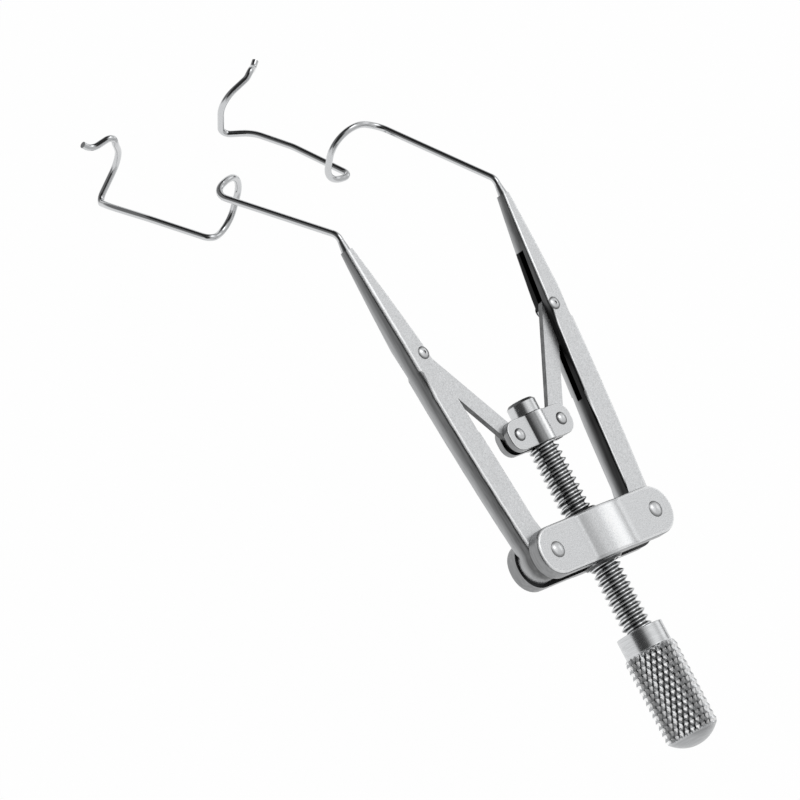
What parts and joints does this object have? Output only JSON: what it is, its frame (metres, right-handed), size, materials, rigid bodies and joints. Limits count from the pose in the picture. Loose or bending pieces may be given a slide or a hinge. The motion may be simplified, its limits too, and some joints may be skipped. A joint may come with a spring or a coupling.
{
  "type": "wire eye speculum",
  "caption": "Screw-adjusted wire eyelid speculum: two pivoted arms with hooked lid wires, spread by links from a collar on a knurled thumb screw.",
  "frame": {"origin": "on the screw's axis, midway between the two arm pivots and midway through the riveted base", "axes": "+Y along the screw from the base towards the lid wires, +X towards the right arm, +Z out of the side of the arms that faces away from the eye"},
  "size_m": [0.0272, 0.0857, 0.0326],
  "materials": {
    "satin_steel": "satin",
    "turned_steel": "fine turned",
    "polished_steel": "polished, knurled grip",
    "spring_wire": "bright drawn wire"
  },
  "bodies": {
    "base": {"base_plate_front": "satin_steel", "base_plate_back": "satin_steel", "drive_nut": "turned_steel", "base_rivet_left": "turned_steel", "base_rivet_right": "turned_steel"},
    "collar": {"collar_plate_front": "satin_steel", "collar_plate_back": "satin_steel", "collar_rivet_left": "turned_steel", "collar_rivet_right": "turned_steel"},
    "screw": {"threaded_rod": "turned_steel", "screw_end_cap": "turned_steel", "thumb_knob": "polished_steel"},
    "arm_left": {"arm_left": "satin_steel", "arm_pin_left": "turned_steel", "lid_wire_left": "spring_wire"},
    "arm_right": {"arm_right": "satin_steel", "arm_pin_right": "turned_steel", "lid_wire_right": "spring_wire"},
    "link_left": {"link_left": "satin_steel"},
    "link_right": {"link_right": "satin_steel"}
  },
  "joints": [
    {"name": "collar_slide", "type": "slide", "parent": "base", "child": "collar", "axis": [0, 1, 0], "range_m": [-0.0011, 0.0011]},
    {"name": "screw_turn", "type": "hinge", "parent": "collar", "child": "screw", "pos_m": [0, 0.0123, 0], "axis": [0, 1, 0], "range_deg": [-535.14, 535.14]},
    {"name": "arm_left_swing", "type": "hinge", "parent": "base", "child": "arm_left", "pos_m": [-0.0076, 0, 0], "axis": [0, 0, 1], "range_deg": [-5.21, 5.21]},
    {"name": "arm_right_swing", "type": "hinge", "parent": "base", "child": "arm_right", "pos_m": [0.0076, 0, 0], "axis": [0, 0, 1], "range_deg": [-5.21, 5.21]},
    {"name": "link_left_swing", "type": "hinge", "parent": "arm_left", "child": "link_left", "pos_m": [-0.01007, 0.0235, 0], "axis": [0, 0, 1], "range_deg": [-5.66, 5.66]},
    {"name": "link_right_swing", "type": "hinge", "parent": "arm_right", "child": "link_right", "pos_m": [0.01007, 0.0235, 0], "axis": [0, 0, 1], "range_deg": [-5.66, 5.66]}
  ],
  "couplings": [
    {"joint": "screw_turn", "follows": "collar_slide", "rad_per_m": 8490.8},
    {"joint": "arm_left_swing", "follows": "collar_slide", "rad_per_m": 82.537},
    {"joint": "arm_right_swing", "follows": "collar_slide", "rad_per_m": -82.537},
    {"joint": "link_left_swing", "follows": "collar_slide", "rad_per_m": 89.71},
    {"joint": "link_right_swing", "follows": "collar_slide", "rad_per_m": -89.71}
  ]
}
